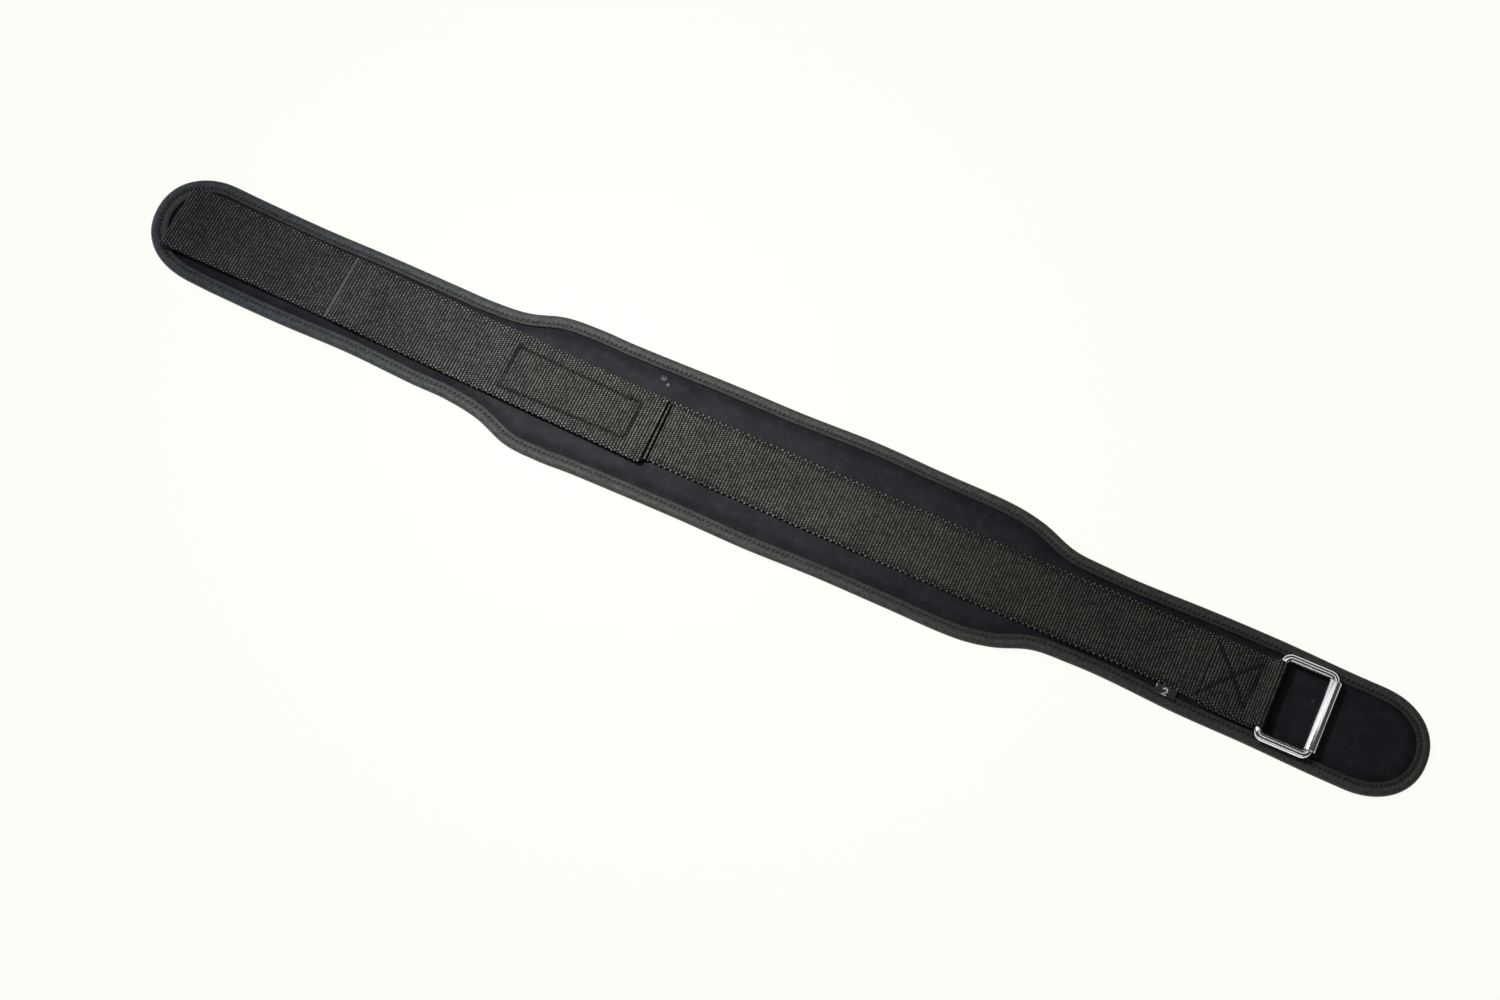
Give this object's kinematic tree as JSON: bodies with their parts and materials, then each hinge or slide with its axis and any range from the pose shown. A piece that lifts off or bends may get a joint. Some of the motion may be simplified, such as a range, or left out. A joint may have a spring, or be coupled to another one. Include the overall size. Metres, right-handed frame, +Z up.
{
  "type": "weightlifting belt",
  "caption": "Padded weightlifting belt lying flat, wider at the back, bound round its rim, with a sewn webbing strap, a folded fastening tail and a wire roller buckle.",
  "frame": {"origin": "middle of the belt's footprint, on the surface that it lies on", "axes": "+X along the belt towards the buckle, +Y across the belt to its edge away from the viewer, +Z up out of the outer face that carries the strap"},
  "size_m": [0.926, 0.1046, 0.018],
  "materials": {
    "pad_cloth": "matt black knitted face cloth with a faint nap, over foam",
    "binding_tape": "black ribbed nylon binding tape with one line of stitches",
    "webbing": "coarse black polypropylene webbing with a raised staggered weave",
    "label_satin": "dark woven satin tab",
    "bright_steel": "bright nickel plated steel wire and rolled tube"
  },
  "bodies": {
    "belt": {"pad": "pad_cloth", "binding": "binding_tape", "buckle_loop": "webbing", "back_strap": "webbing", "tail_fold": "webbing", "tail_strap": "webbing", "tail_patch": "webbing", "size_label": "label_satin"},
    "buckle": {"buckle_frame": "bright_steel"},
    "roller": {"buckle_roller": "bright_steel"}
  },
  "joints": [
    {"name": "buckle_swing", "type": "hinge", "parent": "belt", "child": "buckle", "pos_m": [0.3537, -0.0021, 0.01315], "axis": [0.0087, -1, 0], "range_deg": [0, 170]},
    {"name": "roller_spin", "type": "hinge", "parent": "buckle", "child": "roller", "pos_m": [0.3887, -0.00179, 0.01315], "axis": [-0.0087, 1, 0], "continuous": true}
  ]
}
